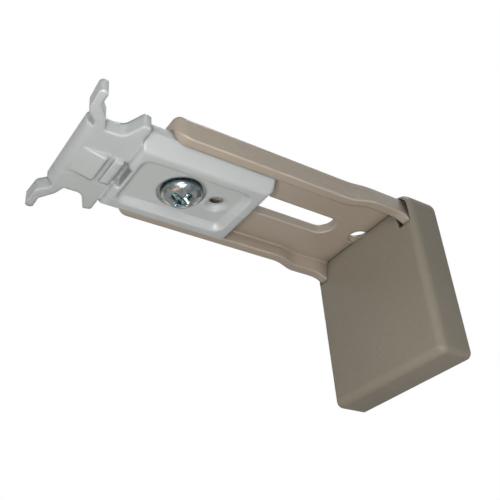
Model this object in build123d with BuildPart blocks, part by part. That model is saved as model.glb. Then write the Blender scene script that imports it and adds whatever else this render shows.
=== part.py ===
from build123d import *
from math import cos, pi, sqrt
import os

# A wall bracket that carries a curtain track under its arm. Lengths are in millimetres.
# X runs along the wall, the wall is the plane Y = 0, the arm reaches to -Y, and Z is up.
# The origin is the middle of the wall plate's back face.

os.makedirs("parts", exist_ok=True)

# Pressed arm: one strip of sheet steel, folded down along both sides and bent down at the wall
sheet = 2.0
web_top = 17.0
plate_bottom = -17.0
arm_reach = 59.0
arm_width = 25.2
foot_width = 28.4
web_widening = 0.4
channel_depth = 4.8
bend_outer = 0.9
bend_inner = 0.3
wall_bend = 4.0
gusset_radius = 5.5
flare_start = 21.5
flare_end = 15.0
flare_steps = 8
tip_corner = 2.0
flange_tip_corner = 2.8
slot_width = 5.7
slot_front = arm_reach - 3.0
slot_rear = 14.7
web_hole_radius = 2.25
web_hole_reach = 7.5
plate_hole_radius = 2.4
plate_hole_spacing = 16.0
plate_hole_middle = -2.0
overrun = 10.0

web_under = web_top - sheet
arm_half = arm_width / 2
foot_half = foot_width / 2

# Cover: a thin box, open to the wall, that hides the wall plate and its screws
fit_gap = 0.3
cover_wall = 0.9
cover_depth = 7.4
cover_foot_gap = 0.5
cover_front_round = 1.7
cover_bottom_round = 1.2
cover_shoulder = 3.9
tongue_side_gap = 0.7
tongue_corner = 0.6
notch_radius = 3.9

# Clip: a moulded tray under the arm with a hooked head that holds the track
side_gap = 0.25
rib_gap = 0.3
screw_reach = arm_reach - 7.65
tray_length = 26.6
tray_front = arm_reach + 4.6
tray_rear = tray_front - tray_length
tray_half = arm_half - sheet - side_gap
tray_side = 2.2
tray_relief = 0.4
tray_slope = 1.9
tray_drop = 5.1
rim_half = tray_half - tray_slope
rim_round = 1.1
rim_land = 2.0
recess_front = tray_front - 1.5
recess_rear = tray_rear + 2.5
recess_corner = 2.0
recess_taper = 38
floor_thickness = 3.9
rib_front = slot_front - 1.2
rib_rear = screw_reach - 3.4
rib_height = 1.6
pocket_front = rib_rear - 0.4
pocket_rear = tray_rear + 2.0
pocket_half = 6.2
pocket_floor = 1.3
pin_hole_reach = (pocket_front + pocket_rear) / 2 + 0.6
pin_hole_radius = 1.3
pin_sink_radius = 2.3
pin_sink = 0.7
clip_bore_radius = 2.2
clip_sink_radius = 4.6
clip_seat = 3.05

head_length = 10.3
head_front = tray_front + head_length
head_half = tray_half - 1.7
head_top = 1.0
head_low_round = 1.8
head_high_round = 0.8
horn_top = 1.3
horn_under = floor_thickness
head_corner = 0.5
hook_tip = head_half + 4.05
hook_slant = 0.4
hook_root = tray_front + 3.6
hook_face = tray_front + 1.7
hook_rear = tray_front + 0.2
hook_round = 0.5
hook_hollow = 1.6
horn_root = head_half - 0.4
horn_neck = head_half + 0.9
horn_elbow = head_half + 2.9
horn_inner_neck = head_half + 2.3
horn_inner_elbow = head_half + 4.9
horn_tip = head_half + 8.2
horn_tip_inner = horn_tip - 0.2
horn_front = head_front + 1.1
horn_elbow_reach = horn_front - 0.3
horn_neck_reach = head_front - 1.2
horn_back = horn_front - 1.6
horn_inner_reach = horn_front - 3.6
horn_base = horn_front - 4.6
ramp_half = 3.3
ramp_front = tray_front + 8.4
ramp_peak = tray_front + 4.1
ramp_rear = tray_front + 3.3
ramp_height = 1.0
step_front = tray_front + 2.6
step_rear = tray_front + 0.9
step_height = 0.8
window_half = 2.7
window_front = step_rear
window_rear = tray_front - 1.0
window_depth = 2.4

# Clamp screw and its nut
screw_radius = 2.0
screw_length = 10.0
head_radius = 4.0
head_height = 2.9
head_rim = 0.9
quarter_turn = 90
drive_length = 4.4
drive_width = 1.0
drive_depth = 1.7
drive_taper = 8
nut_flats = 7.0
nut_height = 4.6
nut_flange_radius = 5.0
nut_flange = 1.0
nut_bore_radius = 2.15
nut_chamfer = 0.4


def channel_outline(reach, inset, corner, spread):
    # The folded strip's cross-section at one reach. Spread runs from 0 on the arm to 1 at the
    # wall, where the sides lean out and the free edges stand further apart.
    top_half = arm_half + spread * web_widening
    slope = spread * (foot_half - arm_half - web_widening) / channel_depth
    side_inset = inset * sqrt(1 + slope**2)
    low = plate_bottom - overrun
    low_half = top_half + slope * (web_top - low) - side_inset
    high_half = top_half + slope * inset - side_inset
    with BuildSketch(Plane.XZ.offset(reach)) as outline:
        with BuildLine():
            FilletPolyline(
                (-low_half, low),
                (low_half, low),
                (high_half, web_top - inset),
                (-high_half, web_top - inset),
                radius=(0, 0, corner, corner),
                close=True,
            )
        make_face()
    return outline.sketch


def channel(front, inset, corner):
    # Straight along the arm, flared in short even steps, straight again up to the wall.
    stations = []
    for step in range(flare_steps + 1):
        share = step / flare_steps
        reach = flare_start - share * (flare_start - flare_end)
        stations.append(channel_outline(reach, inset, corner, (1 - cos(pi * share)) / 2))
    with BuildPart() as body:
        extrude(channel_outline(front, inset, corner, 0), amount=flare_start - front)
        loft(stations, ruled=True)
        extrude(stations[-1], amount=-flare_end)
    return body.part


def wall_plan(half, rear, corner):
    # Seen from above: parallel sides and two rounded corners at the wall.
    with BuildSketch(Plane.XY.offset(plate_bottom - overrun)) as plan:
        with BuildLine():
            FilletPolyline(
                (-half, -arm_reach - overrun),
                (half, -arm_reach - overrun),
                (half, rear),
                (-half, rear),
                radius=(0, 0, corner, corner),
                close=True,
            )
        make_face()
    return plan.sketch


# Outside of the folded strip
plan_height = web_top - plate_bottom + 2 * overrun
with BuildPart() as outer_skin:
    add(channel(arm_reach, 0, bend_outer))
    with BuildSketch(Plane.YZ) as side_view:
        with BuildLine():
            FilletPolyline(
                (-arm_reach, web_top),
                (0, web_top),
                (0, plate_bottom),
                (-channel_depth, plate_bottom),
                (-channel_depth, web_top - channel_depth),
                (-arm_reach, web_top - channel_depth),
                radius=(0, wall_bend, 0, 0, gusset_radius, flange_tip_corner),
                close=True,
            )
        make_face()
    extrude(amount=foot_width, both=True, mode=Mode.INTERSECT)
    extrude(wall_plan(foot_half, 0, bend_outer), amount=plan_height, mode=Mode.INTERSECT)

# Inside of the folded strip
with BuildPart() as inner_space:
    add(channel(arm_reach + overrun, sheet, bend_inner))
    with BuildSketch(Plane.YZ) as inner_view:
        with BuildLine():
            FilletPolyline(
                (-arm_reach - overrun, web_under),
                (-sheet, web_under),
                (-sheet, plate_bottom - overrun),
                (-arm_reach - overrun, plate_bottom - overrun),
                radius=(0, wall_bend - sheet, 0, 0),
                close=True,
            )
        make_face()
    extrude(amount=foot_width, both=True, mode=Mode.INTERSECT)
    extrude(wall_plan(foot_half - sheet, -sheet, bend_inner), amount=plan_height, mode=Mode.INTERSECT)

# Arm with its slot, its holes and its rounded tip
with BuildPart() as bracket_arm:
    add(outer_skin.part)
    add(inner_space.part, mode=Mode.SUBTRACT)
    with BuildSketch(Plane.XY.offset(web_under - channel_depth)) as tip_corners:
        with Locations((0, -arm_reach + tip_corner / 2)):
            Rectangle(foot_width, tip_corner)
        with Locations((0, -arm_reach + 2 * tip_corner)):
            RectangleRounded(arm_width, 4 * tip_corner, tip_corner, mode=Mode.SUBTRACT)
    extrude(amount=2 * channel_depth, mode=Mode.SUBTRACT)
    with BuildSketch(Plane.XY.offset(web_under - 1)) as web_cuts:
        with Locations((0, -(slot_front + slot_rear) / 2)):
            SlotOverall(slot_front - slot_rear, slot_width, rotation=90)
        with Locations((0, -web_hole_reach)):
            Circle(web_hole_radius)
    extrude(amount=sheet + 2, mode=Mode.SUBTRACT)
    with BuildSketch(Plane.XZ.offset(-1)) as plate_holes:
        with Locations((0, plate_hole_middle)):
            with GridLocations(1, plate_hole_spacing, 1, 2):
                Circle(plate_hole_radius)
    extrude(amount=sheet + 2, mode=Mode.SUBTRACT)
bracket_arm.part.label = "bracket_arm"
export_step(bracket_arm.part, "parts/bracket_arm.step")

# Cover shell
cover_inner_half = foot_half + fit_gap
cover_half = cover_inner_half + cover_wall
cover_inner_top = web_top + fit_gap
cover_top = cover_inner_top + cover_wall
cover_inner_bottom = plate_bottom - cover_foot_gap
cover_bottom = cover_inner_bottom - cover_wall
inner_shoulder = cover_shoulder - cover_wall


def box_outline(half, low, high, low_round, high_round):
    # A box seen from the front, with its own roundings at the bottom and at the top.
    with BuildSketch() as outline:
        with BuildLine():
            FilletPolyline(
                (-half, low),
                (half, low),
                (half, high),
                (-half, high),
                radius=(low_round, low_round, high_round, high_round),
                close=True,
            )
        make_face()
    return outline.sketch


# Lowest point of the arm's flanges where they pass through the cover's front
front_inside = cover_depth - cover_wall
gusset_offset = channel_depth + gusset_radius - front_inside
flange_low = web_top - channel_depth - gusset_radius + sqrt(gusset_radius**2 - gusset_offset**2)
notch_low = flange_low - fit_gap
side_lean = (foot_half - arm_half - web_widening) / channel_depth
tongue_low_half = foot_half - sheet - tongue_side_gap
tongue_high_half = arm_half + web_widening + sheet * side_lean - sheet - tongue_side_gap
tongue_top = web_under - fit_gap

with BuildPart() as cover:
    with BuildSketch(Plane.XZ) as cover_outside:
        add(box_outline(cover_half, cover_bottom, cover_top, cover_bottom_round, cover_shoulder))
    extrude(amount=cover_depth)
    fillet(cover.faces().sort_by(Axis.Y)[0].edges(), cover_front_round)
    with BuildSketch(Plane.XZ) as cover_inside:
        add(box_outline(cover_inner_half, cover_inner_bottom, cover_inner_top, 0, inner_shoulder))
    extrude(amount=front_inside, mode=Mode.SUBTRACT)
    with BuildSketch(Plane.XZ) as arm_opening:
        add(box_outline(cover_inner_half, notch_low, cover_inner_top, 0, inner_shoulder))
        with BuildLine():
            Polyline(
                (-tongue_low_half, notch_low),
                (tongue_low_half, notch_low),
                (tongue_high_half, tongue_top),
                (-tongue_high_half, tongue_top),
                close=True,
            )
        make_face(mode=Mode.SUBTRACT)
    extrude(amount=cover_depth + 1, mode=Mode.SUBTRACT)
    along_arm = cover.edges().filter_by(Axis.Y)
    fillet(along_arm.filter_by_position(Axis.Z, tongue_top - 0.1, tongue_top + 0.1), tongue_corner)
    with BuildSketch(Plane.XY.offset(web_top)) as top_notch:
        with Locations((0, -cover_depth)):
            Circle(notch_radius)
    extrude(amount=fit_gap + cover_wall + 1, mode=Mode.SUBTRACT)
cover.part.label = "cover"
export_step(cover.part, "parts/cover.step")

# Track clip
rim_under = web_under - tray_drop
floor_under = web_under - floor_thickness
head_level = web_under - head_top

# Head block with a short hook on each side, its lower front edge well rounded
with BuildPart() as head_block:
    with BuildSketch(Plane.XY.offset(floor_under)) as head_outline:
        with BuildLine():
            FilletPolyline(
                (0, -head_front),
                (head_half, -head_front),
                (head_half, -hook_root),
                (hook_tip, -hook_face),
                (hook_tip - hook_slant, -hook_rear),
                (head_half, -hook_rear),
                (head_half, -recess_front),
                (0, -recess_front),
                radius=(head_corner, hook_hollow, hook_round, hook_round, 0, 0),
            )
            mirror(about=Plane.YZ)
        make_face()
    extrude(amount=head_level - floor_under)
    with BuildSketch(Plane.YZ) as head_profile:
        with BuildLine():
            FilletPolyline(
                (-head_front, floor_under),
                (0, floor_under),
                (0, head_level),
                (-head_front, head_level),
                radius=(head_low_round, 0, 0, head_high_round),
                close=True,
            )
        make_face()
    extrude(amount=hook_tip + 1, both=True, mode=Mode.INTERSECT)

with BuildPart() as track_clip:
    # Tray with sloping sides
    with BuildSketch(Plane.XZ.offset(tray_rear)) as tray_section:
        with BuildLine():
            Polyline(
                (-tray_half, web_under - tray_relief),
                (-tray_half + tray_relief, web_under),
                (tray_half - tray_relief, web_under),
                (tray_half, web_under - tray_relief),
                (tray_half, web_under - tray_side),
                (rim_half, rim_under),
                (-rim_half, rim_under),
                (-tray_half, web_under - tray_side),
                close=True,
            )
        make_face()
    extrude(amount=tray_front - tray_rear)
    rim_face = track_clip.faces().sort_by(Axis.Z)[0]
    fillet(rim_face.edges(), rim_round)

    add(head_block.part)

    # Long horns at the head's front corners
    with BuildSketch(Plane.XY.offset(web_under - horn_under)) as horn_outline:
        with BuildLine():
            FilletPolyline(
                (horn_root, -horn_neck_reach),
                (horn_neck, -horn_neck_reach),
                (horn_elbow, -horn_elbow_reach),
                (horn_tip, -horn_front),
                (horn_tip_inner, -horn_back),
                (horn_inner_elbow, -horn_back),
                (horn_inner_neck, -horn_inner_reach),
                (horn_root, -horn_base),
                radius=(0, 0.6, 1.4, 0.75, 0.6, 1.2, 1.6, 0),
                close=True,
            )
        make_face()
        mirror(about=Plane.YZ)
    extrude(amount=horn_under - horn_top)

    # Ramp and step that guide the track's lip
    with BuildSketch(Plane.YZ) as ramp_section:
        with BuildLine():
            Polyline(
                (-ramp_front, floor_under),
                (-ramp_peak, floor_under - ramp_height),
                (-ramp_rear, floor_under),
                close=True,
            )
        make_face()
        with BuildLine():
            Polyline(
                (-step_front, floor_under),
                (-step_front, floor_under - step_height),
                (-step_rear, floor_under - step_height),
                (-step_rear, floor_under),
                close=True,
            )
        make_face()
    extrude(amount=ramp_half, both=True)

    # Guide rib that runs in the arm's slot
    with BuildSketch(Plane.XY.offset(web_under)) as rib_outline:
        with Locations((0, -(rib_front + rib_rear) / 2)):
            SlotOverall(rib_front - rib_rear, slot_width - 2 * rib_gap, rotation=90)
    extrude(amount=rib_height)

    # Sunk floor with sloping sides
    with BuildSketch(Plane.XY.offset(rim_under)) as recess_mouth:
        with Locations((0, -(recess_front + recess_rear) / 2)):
            RectangleRounded(2 * (rim_half - rim_land), recess_front - recess_rear, recess_corner)
    extrude(amount=tray_drop - floor_thickness, taper=recess_taper, mode=Mode.SUBTRACT)

    # Window behind the step, and the pocket above the thin part of the floor
    with BuildSketch(Plane.XY.offset(rim_under)) as window_outline:
        with Locations((0, -(window_front + window_rear) / 2)):
            Rectangle(2 * window_half, window_front - window_rear)
    extrude(amount=window_depth, mode=Mode.SUBTRACT)
    with BuildSketch(Plane.XY.offset(floor_under + pocket_floor)) as pocket_outline:
        with Locations((0, -(pocket_front + pocket_rear) / 2)):
            Rectangle(2 * pocket_half, pocket_front - pocket_rear)
    extrude(amount=floor_thickness, mode=Mode.SUBTRACT)

    # Screw hole with its counterbore, and pin hole with its dish
    with Locations(Plane((0, -screw_reach, floor_under), z_dir=(0, 0, -1))):
        CounterBoreHole(clip_bore_radius, clip_sink_radius, floor_thickness - clip_seat)
    with BuildSketch(Plane.XY.offset(floor_under)) as dish_mouth:
        with Locations((0, -pin_hole_reach)):
            Circle(pin_sink_radius)
    with BuildSketch(Plane.XY.offset(floor_under + pin_sink)) as dish_floor:
        with Locations((0, -pin_hole_reach)):
            Circle(pin_hole_radius)
    loft(mode=Mode.SUBTRACT)
    with BuildSketch(Plane.XY.offset(floor_under)) as pin_hole:
        with Locations((0, -pin_hole_reach)):
            Circle(pin_hole_radius)
    extrude(amount=floor_thickness, mode=Mode.SUBTRACT)
track_clip.part.label = "track_clip"
export_step(track_clip.part, "parts/track_clip.step")

# Clamp screw with a domed head and a cross recess
head_seat = web_under - clip_seat
head_face = head_seat - head_height
with BuildPart() as clip_screw:
    with BuildSketch(Plane.XZ.offset(screw_reach)) as screw_section:
        with BuildLine():
            Line((0, head_face), (0, head_seat + screw_length))
            Line((0, head_seat + screw_length), (screw_radius, head_seat + screw_length))
            Line((screw_radius, head_seat + screw_length), (screw_radius, head_seat))
            Line((screw_radius, head_seat), (head_radius, head_seat))
            Line((head_radius, head_seat), (head_radius, head_seat - head_rim))
            EllipticalCenterArc(
                (0, head_seat - head_rim),
                head_radius,
                head_height - head_rim,
                start_angle=-quarter_turn,
                arc_size=quarter_turn,
            )
        make_face()
    revolve(axis=Axis((0, -screw_reach, 0), (0, 0, 1)))
    with BuildSketch(Plane.XY.offset(head_face)) as drive_recess:
        with Locations((0, -screw_reach)):
            Rectangle(drive_length, drive_width)
            Rectangle(drive_width, drive_length)
    extrude(amount=drive_depth, taper=drive_taper, mode=Mode.SUBTRACT)
clip_screw.part.label = "clip_screw"
export_step(clip_screw.part, "parts/clip_screw.step")

# Flanged nut on top of the arm
with BuildPart() as clip_nut:
    with BuildSketch(Plane.XY.offset(web_top)) as nut_flange_outline:
        with Locations((0, -screw_reach)):
            Circle(nut_flange_radius)
    extrude(amount=nut_flange)
    with BuildSketch(Plane.XY.offset(web_top)) as nut_outline:
        with Locations((0, -screw_reach)):
            RegularPolygon(nut_flats / 2, 6, major_radius=False)
    extrude(amount=nut_height)
    chamfer(clip_nut.faces().sort_by(Axis.Z)[-1].edges(), nut_chamfer)
    with Locations((0, -screw_reach, web_top + nut_height)):
        Hole(nut_bore_radius)
clip_nut.part.label = "clip_nut"
export_step(clip_nut.part, "parts/clip_nut.step")

for piece in (bracket_arm, cover, track_clip, clip_screw, clip_nut):
    box = piece.part.bounding_box()
    print(piece.part.label, "volume", round(piece.part.volume, 1), "size", box.size)
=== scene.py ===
# %% [markdown]
# # A curtain track bracket
# The bracket is a pressed steel arm with a box cover at the wall, and a pale plastic clip under its tip
# that grips a curtain track. The solids are loaded as they are. This file gives them their finishes, builds
# the screw and the nut again with detail too fine for a plain solid, and lights them as a flash would.

import math

import bmesh
import bpy
from mathutils import Matrix, Vector


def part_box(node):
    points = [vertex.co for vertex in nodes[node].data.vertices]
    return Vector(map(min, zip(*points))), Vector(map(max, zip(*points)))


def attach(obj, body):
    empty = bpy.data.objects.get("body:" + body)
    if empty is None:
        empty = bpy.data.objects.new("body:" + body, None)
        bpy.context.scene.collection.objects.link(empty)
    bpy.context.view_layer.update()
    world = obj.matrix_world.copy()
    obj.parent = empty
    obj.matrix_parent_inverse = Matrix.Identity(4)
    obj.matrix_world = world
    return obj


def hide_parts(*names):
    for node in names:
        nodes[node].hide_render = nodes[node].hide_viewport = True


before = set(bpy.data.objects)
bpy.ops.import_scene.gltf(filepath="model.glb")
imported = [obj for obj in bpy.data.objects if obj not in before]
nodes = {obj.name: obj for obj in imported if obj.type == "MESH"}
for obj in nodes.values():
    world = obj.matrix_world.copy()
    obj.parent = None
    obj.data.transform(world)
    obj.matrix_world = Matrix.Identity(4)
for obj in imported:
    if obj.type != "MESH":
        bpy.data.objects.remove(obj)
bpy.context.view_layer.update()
MM = 0.001
for name in nodes:
    low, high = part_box(name)
    print(name, "size in mm", [round((b - a) / MM, 1) for a, b in zip(low, high)])

# %% [markdown]
# ## The camera
# The bracket is seen from below and from its right, near its tip, with a strong perspective. A camera in
# Blender looks along its own -Z with +Y up, so its matrix is three columns: right, up and backwards. The
# view is kept as an eye point, a direction and an up vector, because those are easy to read and to turn.

# %% Place the camera
EYE = Vector((94.333, -106.988, -72.781)) * MM
LOOK = Vector((-0.674704, 0.501518, 0.541529)).normalized()
UP = Vector((0.485364, -0.251267, 0.837429))
SENSOR = 36.0
FOCAL = 53.63
NEAREST = 0.001

right = LOOK.cross(UP).normalized()
upward = right.cross(LOOK)
turn = Matrix((right, upward, -LOOK)).transposed().to_4x4()
camera_data = bpy.data.cameras.new("camera")
camera_data.sensor_width = SENSOR
camera_data.lens = FOCAL
camera_data.clip_start = NEAREST
camera = bpy.data.objects.new("camera", camera_data)
camera.matrix_world = Matrix.Translation(EYE) @ turn
bpy.context.scene.collection.objects.link(camera)
bpy.context.scene.camera = camera
print("the camera looks up by", round(math.degrees(math.asin(LOOK.z)), 1), "degrees")

# %% [markdown]
# ## Shader sums as Python expressions
# A material in Blender is a graph of nodes, and simple arithmetic soon takes a dozen of them. One small
# class wraps a socket and turns Python's operators into Math nodes, so that a mask can be written as a
# formula. Every other node comes from one method, which first sets the node's own choices and then its
# sockets. Two masks are ready for every finish, and the lacquer and the plastic use them to paint a
# highlight on outer edges and shade into inner corners. The outer one shows where a rounded shading leaves
# the true surface, and the inner one where little open space is in view.

# %% A wrapper for sockets and a maker of nodes
EDGE_SAMPLES = 6
OPEN_VIEW = (0.8, 0.2)
LIKENESS = (0.98, 0.8)


class Sum:
    def __init__(self, shader, socket):
        self.shader = shader
        self.socket = socket

    def math(self, operation, *others, swap=False):
        values = [self, *others]
        if swap:
            values.reverse()
        return self.shader.node("ShaderNodeMath", {"operation": operation}, dict(enumerate(values)))

    def __add__(self, other):
        return self.math("ADD", other)

    def __mul__(self, other):
        return self.math("MULTIPLY", other)

    def __sub__(self, other):
        return self.math("SUBTRACT", other)

    def __rsub__(self, other):
        return self.math("SUBTRACT", other, swap=True)


class Shader:
    def __init__(self, name):
        self.material = bpy.data.materials.new(name)
        self.material.use_nodes = True
        self.tree = self.material.node_tree
        self.surface = self.tree.nodes["Principled BSDF"]
        self.place = self.node("ShaderNodeTexCoord", {}, {}, "Object")

    def node(self, kind, settings, inputs, output=0):
        made = self.tree.nodes.new(kind)
        for key, value in settings.items():
            setattr(made, key, value)
        for key, value in inputs.items():
            self.feed(made.inputs[key], value)
        return Sum(self, made.outputs[output])

    def feed(self, socket, value):
        if isinstance(value, Sum):
            self.tree.links.new(value.socket, socket)
        elif isinstance(value, tuple) and socket.type == "RGBA":
            socket.default_value = (*value, 1)
        else:
            socket.default_value = value

    def noise(self, scale, detail, roughness=0.5, place=None):
        inputs = {"Vector": place or self.place, "Scale": scale, "Detail": detail, "Roughness": roughness}
        return self.node("ShaderNodeTexNoise", {}, inputs)

    def stretched(self, along):
        return self.node("ShaderNodeMapping", {}, {"Vector": self.place, "Scale": along})

    def spread(self, value, low, high, new_low=0.0, new_high=1.0):
        inputs = {"Value": value, "From Min": low, "From Max": high, "To Min": new_low, "To Max": new_high}
        return self.node("ShaderNodeMapRange", {"clamp": True}, inputs)

    def mix(self, factor, first, second):
        return self.node("ShaderNodeMix", {"data_type": "RGBA"}, {0: factor, 6: first, 7: second}, 2)

    def set(self, **values):
        for key, value in values.items():
            self.feed(self.surface.inputs[key.replace("_", " ")], value)

    def rounded(self, radius):
        return self.node("ShaderNodeBevel", {"samples": EDGE_SAMPLES}, {"Radius": radius})

    def inner_corners(self, reach):
        settings = {"samples": EDGE_SAMPLES}
        open_view = self.node("ShaderNodeAmbientOcclusion", settings, {"Distance": reach}, "AO")
        return self.spread(open_view, *OPEN_VIEW)

    def outer_edges(self, radius, inner):
        pair = {0: self.rounded(radius), 1: self.node("ShaderNodeNewGeometry", {}, {}, "Normal")}
        likeness = self.node("ShaderNodeVectorMath", {"operation": "DOT_PRODUCT"}, pair, "Value")
        return self.spread(likeness, *LIKENESS) * (1.0 - inner)

    def bump(self, height, strength, distance, rounded):
        inputs = {"Height": height, "Strength": strength, "Distance": distance, "Normal": rounded}
        self.feed(self.surface.inputs["Normal"], self.node("ShaderNodeBump", {}, inputs))


def linear(red, green, blue):
    # A colour as seen on a screen, 0 to 255, as the light values that Blender works in.
    def one(value):
        value /= 255
        return value / 12.92 if value <= 0.04045 else ((value + 0.055) / 1.055) ** 2.4

    return one(red), one(green), one(blue)


def shaded(colour, share):
    return tuple(share * part for part in colour)


print("a middle grey on screen is", round(linear(128, 128, 128)[0], 3), "in Blender")

# %% [markdown]
# ## Satin taupe lacquer
# The arm and the cover have the same kind of lacquer, a warm grey brown with a faint metallic flake, smooth
# but not glossy. It could be one flat colour, but no sprayed coat is quite even. So a fine noise sets in
# paler flakes, and a slow one moves the colour and the sheen by a few percent. Faint streaks run the way the
# clip slides. Outer edges are painted paler as a painted highlight, and inner corners and gaps are painted
# darker as a painted shade. A very low bump gives the skin of orange peel, and a rounding in the shading
# softens the cut edges.

# %% Make the lacquer
# A noise is given by its scale and detail, and a band by the values where its mask starts and is full.
CORNER_REACH = 0.004
UNEVEN_NOISE = (90.0, 3.0)
UNEVEN_BAND = (0.3, 0.7)
UNEVEN_SHARE = 0.14
UNEVEN_SHADE = 0.78
SHEEN_BAND = (0.25, 0.75)
SHEEN_CHANGE = (-0.04, 0.05)
FLAKE_NOISE = (9000.0, 1.0)
FLAKE_BAND = (0.55, 0.72)
FLAKE_SHARE = 0.45
FLAKE_METAL = 0.2
STREAK_NOISE = (900.0, 3.0)
STREAK_BAND = (0.6, 0.75)
STREAK_LENGTHWAYS = (1.0, 0.04, 1.0)
STREAK_SHARE = 0.1
STREAK_POLISH = 0.06
# How far outer edges are painted paler, as a painted highlight, and how much smoother they are made.
EDGE_HIGHLIGHT_SHARE = 0.8
EDGE_POLISH = 0.08
# How far inner corners and gaps are painted darker, as a painted shade, and how dark.
LACQUER_PAINTED_SHADE_SHARE = 0.8
LACQUER_PAINTED_SHADE = 0.3
PEEL_NOISE = (1400.0, 2.0)
PEEL_STRENGTH = 0.05
SKIN_DEPTH = 0.00003


def lacquer(name, colour, flake_and_highlight_colour, roughness, gloss, edge):
    shader = Shader(name)
    inner = shader.inner_corners(CORNER_REACH)
    outer = shader.outer_edges(edge, inner)
    uneven = shader.noise(*UNEVEN_NOISE)
    flake = shader.spread(shader.noise(*FLAKE_NOISE), *FLAKE_BAND)
    lengthways = shader.stretched(STREAK_LENGTHWAYS)
    streak = shader.spread(shader.noise(*STREAK_NOISE, place=lengthways), *STREAK_BAND)
    base = shader.mix(flake * FLAKE_SHARE, colour, flake_and_highlight_colour)
    cloud = shader.spread(uneven, *UNEVEN_BAND, 0.0, UNEVEN_SHARE)
    shade = shader.mix(cloud, base, shaded(colour, UNEVEN_SHADE))
    worn = shader.mix(streak * STREAK_SHARE, shade, flake_and_highlight_colour)
    # Outer edges are mixed towards the paler colour, a painted highlight.
    edge_highlit = shader.mix(outer * EDGE_HIGHLIGHT_SHARE, worn, flake_and_highlight_colour)
    # Inner corners and gaps are mixed towards a darker colour, a painted shade.
    dust_and_shade = shader.mix(inner * LACQUER_PAINTED_SHADE_SHARE, edge_highlit, shaded(colour, LACQUER_PAINTED_SHADE))
    matt = shader.spread(uneven, *SHEEN_BAND, *(roughness + change for change in SHEEN_CHANGE))
    shader.set(Base_Color=dust_and_shade, Metallic=flake * FLAKE_METAL)
    shader.set(Roughness=matt - streak * STREAK_POLISH - outer * EDGE_POLISH)
    shader.set(IOR=1.45, Specular_IOR_Level=gloss)
    shader.bump(shader.noise(*PEEL_NOISE), PEEL_STRENGTH, SKIN_DEPTH, shader.rounded(edge))
    return shader.material


print("the skin is", round(SKIN_DEPTH / MM, 2), "mm deep")

# %% [markdown]
# ## Two taupes
# Arm and cover differ a little: the cover is darker and rougher, and shines less. They could share one
# finish, but then the light would have to make the difference, and it would be gone from another side. One
# function makes both, so only the values that differ stand here.

# %% Mix the two taupes
ARM_TAUPE = linear(167, 155, 140)
# The paler colours serve both the flakes and the painted highlight on outer edges.
ARM_FLAKE_AND_HIGHLIGHT = linear(212, 200, 186)
COVER_TAUPE = linear(142, 135, 121)
COVER_FLAKE_AND_HIGHLIGHT = linear(178, 170, 156)
arm_finish = lacquer("arm_lacquer", ARM_TAUPE, ARM_FLAKE_AND_HIGHLIGHT, roughness=0.32, gloss=0.5, edge=0.00065)
cover_finish = lacquer("cover_lacquer", COVER_TAUPE, COVER_FLAKE_AND_HIGHLIGHT, roughness=0.42, gloss=0.15, edge=0.0005)
for title, colour in (("arm", ARM_TAUPE), ("cover", COVER_TAUPE)):
    print(title, "lacquer", [round(part, 3) for part in colour])

# %% [markdown]
# ## Moulded plastic
# The clip is a pale grey plastic with a soft gloss. Light goes a little way into it, so its thin parts look
# milky and faintly blue. Subsurface scattering with a short radius gives that. The mask for outer edges
# paints the edges paler and bluer, partly for that milky look and partly as a painted highlight, and inner
# corners are painted darker as a painted shade. Slow noise in the colour and the roughness stands for flow
# marks, fine specks for dust, and a low bump for the mould's skin. Every moulded edge is a little round,
# which the same rounding in the shading gives.

# %% Make the plastic
FLOW_NOISE = (30.0, 1.0)
FLOW_BAND = (0.2, 0.8)
FLOW_SHARE = 0.5
FLOW_SHADE = 0.95
FLOW_SHEEN = (0.24, 0.31)
SPECK_NOISE = (2600.0, 1.0)
SPECK_BAND = (0.7, 0.8)
SPECK_SHARE = 0.15
SPECK_SHADE = 0.6
SPECK_DULL = 0.1
# Outer edges are painted paler and bluer, partly for the milky thin plastic and partly as a painted
# highlight.
THIN_AND_HIGHLIGHT_COLOUR = linear(222, 230, 233)
THIN_AND_HIGHLIGHT_RADIUS = 0.00035
THIN_AND_HIGHLIGHT_SHARE = 0.85
# How far inner corners are painted darker, as a painted shade, and how dark.
PLASTIC_PAINTED_SHADE_SHARE = 0.6
PLASTIC_PAINTED_SHADE = 0.4
SCATTER_SHARE = 0.25
SCATTER_DEPTH = 0.0012
SCATTER_RADII = (0.8, 0.9, 1.0)
MOULD_NOISE = (1900.0, 2.0)
MOULD_STRENGTH = 0.06


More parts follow.
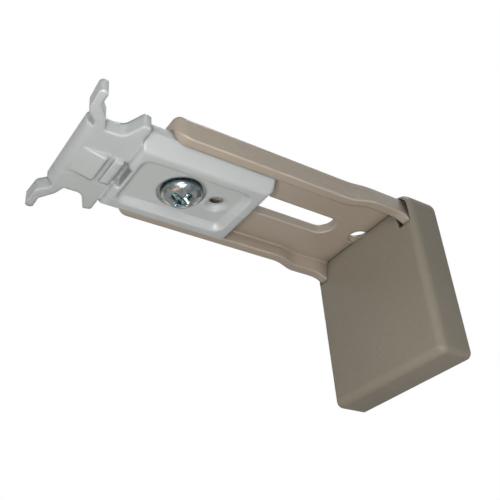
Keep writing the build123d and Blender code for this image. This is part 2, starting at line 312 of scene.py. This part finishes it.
def plastic(name, colour, edge):
    shader = Shader(name)
    inner = shader.inner_corners(CORNER_REACH)
    outer = shader.outer_edges(THIN_AND_HIGHLIGHT_RADIUS, inner)
    flow = shader.noise(*FLOW_NOISE)
    speck = shader.spread(shader.noise(*SPECK_NOISE), *SPECK_BAND)
    marks = shader.spread(flow, *FLOW_BAND, 0.0, FLOW_SHARE)
    shade = shader.mix(marks, colour, shaded(colour, FLOW_SHADE))
    dust_and_shade = shader.mix(speck * SPECK_SHARE, shade, shaded(colour, SPECK_SHADE))
    # Outer edges are mixed towards the pale blue colour: milky thin plastic and a painted highlight.
    thin_and_highlit = shader.mix(outer * THIN_AND_HIGHLIGHT_SHARE, dust_and_shade, THIN_AND_HIGHLIGHT_COLOUR)
    # Inner corners are mixed towards a darker colour, a painted shade.
    shader.set(Base_Color=shader.mix(inner * PLASTIC_PAINTED_SHADE_SHARE, thin_and_highlit, shaded(colour, PLASTIC_PAINTED_SHADE)))
    matt = shader.spread(flow, *FLOW_BAND, *FLOW_SHEEN)
    shader.set(Roughness=matt + speck * SPECK_DULL - outer * EDGE_POLISH)
    shader.set(IOR=1.5, Specular_IOR_Level=0.5)
    shader.surface.subsurface_method = "BURLEY"
    shader.set(Subsurface_Weight=SCATTER_SHARE, Subsurface_Scale=SCATTER_DEPTH)
    shader.set(Subsurface_Radius=SCATTER_RADII)
    shader.bump(shader.noise(*MOULD_NOISE), MOULD_STRENGTH, SKIN_DEPTH, shader.rounded(edge))
    return shader.material


clip_finish = plastic("moulded_plastic", linear(184, 188, 187), edge=0.0009)
print("plastic nodes", len(clip_finish.node_tree.nodes))

# %% [markdown]
# ## Zinc
# The screw and the nut are zinc plated. Plating is bright and neutral, with a thin clear layer that tints
# it here blue and there straw. A plain grey metal would look like steel, so two tints are mixed by a slow
# noise, a second noise lays dull dark patches that also stand in for dark reflections as a painted
# reflection, and a finer one breaks up the gloss. The layer gathers in corners, so the driver's cross is
# bluer than the dome.

# %% Make the zinc
TINT_NOISE = (420.0, 2.0)
TINT_BAND = (0.35, 0.65)
BLUE_TINT = linear(158, 178, 184)
STRAW_TINT = linear(184, 178, 170)
THICK_TINT = linear(112, 160, 168)
THICK_SHARE = 0.8
THICK_REACH = 0.0015
PATCH_NOISE = (700.0, 3.0, 0.6)
PATCH_BAND = (0.47, 0.6)
# Dull dark patches, which are also a painted dark reflection.
DULL_PATCH_AND_REFLECTION_GREY = linear(66, 66, 68)
DULL_PATCH_AND_REFLECTION_SHARE = 0.5
PATCH_DULL = 0.1
GLOSS_NOISE = (2600.0, 3.0)
GLOSS_BAND = (0.3, 0.7)
GLOSS_SHEEN = (0.1, 0.24)
GRAIN_NOISE = (5200.0, 2.0)
GRAIN_STRENGTH = 0.12
GRAIN_DEPTH = 0.00002


def zinc(name, edge):
    shader = Shader(name)
    cloud = shader.spread(shader.noise(*TINT_NOISE), *TINT_BAND)
    dull_patch_and_reflection = shader.spread(shader.noise(*PATCH_NOISE), *PATCH_BAND)
    tint = shader.mix(cloud, BLUE_TINT, STRAW_TINT)
    layer = shader.mix(shader.inner_corners(THICK_REACH) * THICK_SHARE, tint, THICK_TINT)
    # The dark patches are mixed in: dull plating and a painted dark reflection.
    shader.set(Base_Color=shader.mix(dull_patch_and_reflection * DULL_PATCH_AND_REFLECTION_SHARE, layer, DULL_PATCH_AND_REFLECTION_GREY), Metallic=1.0)
    gloss = shader.spread(shader.noise(*GLOSS_NOISE), *GLOSS_BAND, *GLOSS_SHEEN)
    shader.set(Roughness=gloss + dull_patch_and_reflection * PATCH_DULL)
    shader.bump(shader.noise(*GRAIN_NOISE), GRAIN_STRENGTH, GRAIN_DEPTH, shader.rounded(edge))
    return shader.material


zinc_finish = zinc("zinc_plating", edge=0.0001)
print("zinc nodes", len(zinc_finish.node_tree.nodes))

# %% [markdown]
# ## Finishes on the solids
# The arm, the cover and the clip come from the frame with all their bends and edges. They could be built
# again here, but the solids are already exact, so they keep their meshes and only get a new material. The
# screw and the nut get theirs as well, although finer ones take their place below.

# %% Give each solid its finish
FINISHES = {
    "bracket_arm": arm_finish,
    "cover": cover_finish,
    "track_clip": clip_finish,
    "clip_screw": zinc_finish,
    "clip_nut": zinc_finish,
}
for name, finish in FINISHES.items():
    nodes[name].data.materials.clear()
    nodes[name].data.materials.append(finish)
print("finishes on", len(FINISHES), "solids")

# %% [markdown]
# ## Turned pieces
# A screw and a nut are both round at first and then shaped. The same is done here: half an outline is spun
# right round, and each point may then be moved by a rule. The rule presses the cross into the screw's head,
# winds the thread round its shank, and draws the nut's side out to six flats. Cutting them with solids would
# also work, but a moved point keeps the mesh even, and even faces shade smoothly.

# %% A lathe with a rule for each point
SEGMENTS = 96
MERGED = 1e-4
SHARP = math.radians(40)


def turned(name, outline, centre, rule, finish):
    mesh = bmesh.new()
    points = [mesh.verts.new((radius, 0, height)) for radius, height in outline]
    for first, second in zip(points, points[1:]):
        mesh.edges.new((first, second))
    bmesh.ops.spin(
        mesh, geom=mesh.verts[:] + mesh.edges[:], cent=(0, 0, 0), axis=(0, 0, 1),
        angle=math.tau, steps=SEGMENTS, use_merge=True, use_duplicate=False,
    )
    bmesh.ops.remove_doubles(mesh, verts=mesh.verts[:], dist=MERGED)
    for point in mesh.verts:
        point.co = (Vector(rule(*point.co)) + centre) * MM
    bmesh.ops.recalc_face_normals(mesh, faces=mesh.faces[:])
    data = bpy.data.meshes.new(name)
    mesh.to_mesh(data)
    mesh.free()
    data.shade_smooth()
    data.set_sharp_from_angle(angle=SHARP)
    data.materials.append(finish)
    made = bpy.data.objects.new(name, data)
    bpy.context.scene.collection.objects.link(made)
    print(name, "faces", len(data.polygons))
    return made


def steps(start, end, count):
    return [start + (end - start) * index / count for index in range(count + 1)]


def ease(value):
    # A soft step from 0 to 1, level at both ends.
    value = min(1.0, max(0.0, value))
    return value * value * (3 - 2 * value)


print("a soft step at a quarter is", ease(0.25))

# %% [markdown]
# ## The clamp screw
# The clip hangs on one M4 screw with a low domed head. Its place and the width of its head come from the
# solid that it stands for, so the two always agree. The other lengths are those of a usual screw of its
# size.

# %% Measure the clamp screw
screw_low, screw_high = (Vector(corner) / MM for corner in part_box("clip_screw"))
SCREW_LENGTH = 10.0
HEAD_HEIGHT = 2.9
HEAD_RIM = 0.9
DOME_HEIGHT = HEAD_HEIGHT - HEAD_RIM
RIM_ROUND = 0.25
HEAD_RADIUS = (screw_high.x - screw_low.x) / 2
SHANK_RADIUS = 2.0
screw_centre = Vector((0, (screw_low.y + screw_high.y) / 2, screw_high.z - SCREW_LENGTH))


def dome(radius):
    return -HEAD_RIM - DOME_HEIGHT * math.sqrt(max(0.0, 1 - (radius / HEAD_RADIUS) ** 2))


print("head radius in mm", round(HEAD_RADIUS, 2))

# %% [markdown]
# ## The cross for the driver
# Each wing of the cross is deepest at the middle and runs out towards its tip, and its walls lean a little,
# as a punch leaves them. The cross is turned by some degrees, since a screw stops where it is tight. A cut
# with a solid would leave long thin faces on the dome, so each point of the dome is pressed in instead.

# %% Find the depth of the cross
WING_LENGTH = 2.6
WING_HALF = 0.55
WING_LEAN = 0.22
WING_CORE = 0.5
CROSS_DEPTH = 1.9
CROSS_RUN_OUT = 1.5
CROSS_TURN = math.radians(17)
CROSS_COS = math.cos(CROSS_TURN)
CROSS_SIN = math.sin(CROSS_TURN)


def cross(x, y):
    depth = 0.0
    x, y = x * CROSS_COS + y * CROSS_SIN, y * CROSS_COS - x * CROSS_SIN
    for along, across in ((x, y), (y, x)):
        share = (abs(along) - WING_CORE) / (WING_LENGTH - WING_CORE)
        run_out = CROSS_DEPTH * (1 - ease(share) ** CROSS_RUN_OUT)
        wall = ease((WING_HALF + WING_LEAN - abs(across)) / WING_LEAN)
        depth = max(depth, run_out * wall)
    return depth


print("the cross is", cross(0, 0), "mm deep at the middle")

# %% [markdown]
# ## The thread
# The shank carries a real thread of 0.7 mm pitch. A bump could only shade it, and its outline would stay
# straight. Height and angle together say where a point lies on the winding, so its radius follows from
# them, and the crests fade out at the end of the shank.

# %% Wind the thread
THREAD_ROOT = 1.62
THREAD_PITCH = 0.7
THREAD_FLAT = 1.3
THREAD_FADE = 0.5
CROSS_REACH = WING_LENGTH + 0.3
AXIS_RADIUS = 0.1
NEAR = 0.01


def screw_rule(x, y, z):
    radius = math.hypot(x, y)
    if z < -HEAD_RIM - NEAR and radius < CROSS_REACH:
        return x, y, z + cross(x, y)
    if z > THREAD_PITCH and radius > AXIS_RADIUS:
        phase = (z / THREAD_PITCH - math.atan2(y, x) / math.tau) % 1.0
        crest = min(1.0, THREAD_FLAT * abs(2 * phase - 1))
        fade = ease((SCREW_LENGTH - z) / THREAD_FADE)
        grown = THREAD_ROOT + (SHANK_RADIUS - THREAD_ROOT) * crest * fade
        return x * grown / radius, y * grown / radius, z
    return x, y, z


print("the thread has", round(SCREW_LENGTH / THREAD_PITCH - 1, 1), "turns")

# %% [markdown]
# ## The screw's outline
# Half of the screw's section runs from the middle of the dome round the rim and the underside of the head
# and down the shank. Its points are closest where the rule moves them most, at the cross and on the thread,
# and sparse where the steel is plain, which keeps the mesh small.

# %% Turn the clamp screw
FACE_RADIUS = WING_LENGTH + 0.4
FACE_STEPS = 42
RIM_ANGLE = 0.12
RIM_STEPS = 9
SHANK_START = 0.05
SHANK_STEPS = 142

face = [(radius, dome(radius)) for radius in steps(0, FACE_RADIUS, FACE_STEPS)]
angles = steps(math.acos(FACE_RADIUS / HEAD_RADIUS), RIM_ANGLE, RIM_STEPS)[1:]
rim = [(HEAD_RADIUS * math.cos(angle), -HEAD_RIM - DOME_HEIGHT * math.sin(angle)) for angle in angles]
side = [
    (HEAD_RADIUS, -HEAD_RIM),
    (HEAD_RADIUS, -RIM_ROUND),
    (HEAD_RADIUS - RIM_ROUND, 0),
    (SHANK_RADIUS, 0),
]
shank = [(SHANK_RADIUS, height) for height in steps(SHANK_START, SCREW_LENGTH, SHANK_STEPS)]
screw_outline = face + rim + side + shank + [(0, SCREW_LENGTH)]
screw = turned("threaded_screw", screw_outline, screw_centre, screw_rule, zinc_finish)
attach(screw, "clip")
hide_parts("clip_screw")

# %% [markdown]
# ## The nut
# The nut clamps against the arm with a thin flange that is wide enough to bridge the slot. Its top corners
# are turned off to a cone, which leaves the curved edges that every hexagon nut has, and its bore is
# countersunk. It is turned as a round piece, because a rule then lays all of its six flats at once.

# %% Turn the nut
nut_low, nut_high = (Vector(corner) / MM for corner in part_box("clip_nut"))
NUT_FLATS = 3.5
NUT_CROWN = 3.3
FLANGE = 1.0
FLANGE_EDGE = 0.15
BORE = 2.15
BORE_SINK = 0.3
NUT_FOOT = 0.2
CROWN_LIP = 0.05
CROWN_SLOPE = math.tan(math.radians(30))
SIXTH = math.tau / 6

nut_height = nut_high.z - nut_low.z
flange_radius = (nut_high.x - nut_low.x) / 2
nut_centre = Vector((0, (nut_low.y + nut_high.y) / 2, nut_low.z))


def nut_rule(x, y, z):
    radius = math.hypot(x, y)
    if abs(radius - NUT_FLATS) > NEAR:
        return x, y, z
    grown = NUT_FLATS / math.cos(math.atan2(y, x) % SIXTH - SIXTH / 2)
    lowered = (grown - NUT_CROWN) * CROWN_SLOPE if z > nut_height - NEAR else 0.0
    return x * grown / radius, y * grown / radius, z - lowered


nut_outline = [
    (BORE, 0),
    (flange_radius - FLANGE_EDGE, 0),
    (flange_radius, FLANGE_EDGE),
    (flange_radius, FLANGE - 3 * FLANGE_EDGE),
    (flange_radius - FLANGE_EDGE, FLANGE - 2 * FLANGE_EDGE),
    (NUT_FLATS, FLANGE),
    (NUT_FLATS, FLANGE + NUT_FOOT),
    (NUT_FLATS, nut_height),
    (NUT_CROWN - CROWN_LIP, nut_height),
    (BORE + BORE_SINK, nut_height),
    (BORE, nut_height - BORE_SINK),
    (BORE, 0),
]
nut = turned("threaded_nut", nut_outline, nut_centre, nut_rule, zinc_finish)
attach(nut, "clip")
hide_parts("clip_nut")

# %% [markdown]
# ## The background
# The bracket stands before plain white. A bright white world would give that at once, but it would also
# wash the lacquer out from all sides. So the camera sees a white world, and glossy surfaces mirror one too,
# which gives the screw its bright parts. All other light from the world is as weak as in a dim room.

# %% Set the world
SEEN = 1.0
MIRRORED = 1.0
DOME_LIGHT = 0.04
WHITE = (1.0, 1.0, 1.0)
DOME_COLOUR = (0.95, 0.97, 1.0)

world = bpy.data.worlds.new("studio")
bpy.context.scene.world = world
world.use_nodes = True
tree = world.node_tree
tree.nodes.clear()


def background(colour, strength):
    made = tree.nodes.new("ShaderNodeBackground")
    made.inputs["Color"].default_value = (*colour, 1)
    made.inputs["Strength"].default_value = strength
    return made


def choose(factor, first, second):
    made = tree.nodes.new("ShaderNodeMixShader")
    tree.links.new(factor, made.inputs[0])
    tree.links.new(first.outputs[0], made.inputs[1])
    tree.links.new(second.outputs[0], made.inputs[2])
    return made


path = tree.nodes.new("ShaderNodeLightPath")
shiny = tree.nodes.new("ShaderNodeMath")
shiny.operation = "MAXIMUM"
tree.links.new(path.outputs["Is Glossy Ray"], shiny.inputs[0])
tree.links.new(path.outputs["Is Transmission Ray"], shiny.inputs[1])
lit = choose(shiny.outputs[0], background(DOME_COLOUR, DOME_LIGHT), background(WHITE, MIRRORED))
seen = choose(path.outputs["Is Camera Ray"], lit, background(WHITE, SEEN))
output = tree.nodes.new("ShaderNodeOutputWorld")
tree.links.new(seen.outputs[0], output.inputs["Surface"])
print("world nodes", len(tree.nodes))

# %% [markdown]
# ## The lamps
# The bracket looks as if a flash near the camera lit it: the clip and the arm's tip are brighter than the
# wall end. So the main lamp is a disc beside the camera, with weaker ones below, beside and near the tip to
# shape the clip. One wide lamp fills from the right. Two large ones light the top and the back, which this
# view doesn't show. A small warm lamp gives the amber spot on the screw. A sun lamp would be simpler, but
# it lights near and far alike and leaves hard shadows.

# %% Hang the lamps
CENTRE = Vector((0, -40, 8)) * MM
WARM = (1.0, 0.5, 0.2)
LAMPS = (
    # Name, place in mm, width in mm, power in watts, colour.
    ("flash", (88, -125, -80), 30, 0.146, WHITE),
    ("side", (100, -70, -90), 40, 0.024, WHITE),
    ("low", (70, -80, -120), 40, 0.045, WHITE),
    ("tip", (80, -90, -10), 30, 0.009, WHITE),
    ("right", (300, -60, 0), 200, 0.01, WHITE),
    ("top", (40, 60, 400), 120, 0.4, WHITE),
    ("behind", (-240, 220, 200), 150, 0.5, WHITE),
    ("bulb", (-11, -104, -142), 55, 0.01, WARM),
)


def lamp(name, place, target, size, power, colour):
    data = bpy.data.lights.new(name, "AREA")
    data.color = colour
    data.shape = "DISK"
    data.size = size
    data.energy = power
    made = bpy.data.objects.new(name, data)
    made.location = place
    made.rotation_euler = (target - place).to_track_quat("-Z", "Y").to_euler()
    bpy.context.scene.collection.objects.link(made)


for name, place, size, power, colour in LAMPS:
    lamp(name, Vector(place) * MM, CENTRE, size * MM, power, colour)
print("lamps", [row[0] for row in LAMPS])

# %% [markdown]
# ## The floor
# The bracket hangs on a wall, so the floor lies well below it and takes its shadow. A grey floor would cut
# the white background in two and look dull in the metal. Its paint is therefore mixed with a white glow,
# strongly for what the camera sees and by about half for what a shiny surface sees. The light that the
# floor throws back at the bracket is still that of a plain grey one.

# %% Lay the floor
FLOOR_HALF = 2.0
FLOOR_HEIGHT = -0.45
FLOOR_GREY = (0.5, 0.5, 0.5)
FLOOR_ROUGHNESS = 0.8
FLOOR_SEEN = 0.8
FLOOR_MIRRORED = 0.45

floor_shader = Shader("floor_paint")
floor_shader.set(Base_Color=FLOOR_GREY, Roughness=FLOOR_ROUGHNESS)
camera_ray = floor_shader.node("ShaderNodeLightPath", {}, {}, "Is Camera Ray")
mirror_ray = floor_shader.node("ShaderNodeLightPath", {}, {}, "Is Glossy Ray")
glow_share = camera_ray * FLOOR_SEEN + mirror_ray * FLOOR_MIRRORED
glow = floor_shader.node("ShaderNodeEmission", {}, {"Color": WHITE, "Strength": 1.0})
plain_floor = Sum(floor_shader, floor_shader.surface.outputs["BSDF"])
pale = floor_shader.node("ShaderNodeMixShader", {}, {0: glow_share, 1: plain_floor, 2: glow})
floor_shader.feed(floor_shader.tree.nodes["Material Output"].inputs["Surface"], pale)

floor_mesh = bmesh.new()
bmesh.ops.create_grid(floor_mesh, x_segments=1, y_segments=1, size=FLOOR_HALF)
floor_data = bpy.data.meshes.new("floor")
floor_mesh.to_mesh(floor_data)
floor_mesh.free()
floor_data.materials.append(floor_shader.material)
floor = bpy.data.objects.new("floor", floor_data)
floor.location = (0, 0, FLOOR_HEIGHT)
bpy.context.scene.collection.objects.link(floor)
bpy.context.scene.view_settings.view_transform = "Standard"
print("floor height in mm", round(FLOOR_HEIGHT / MM))
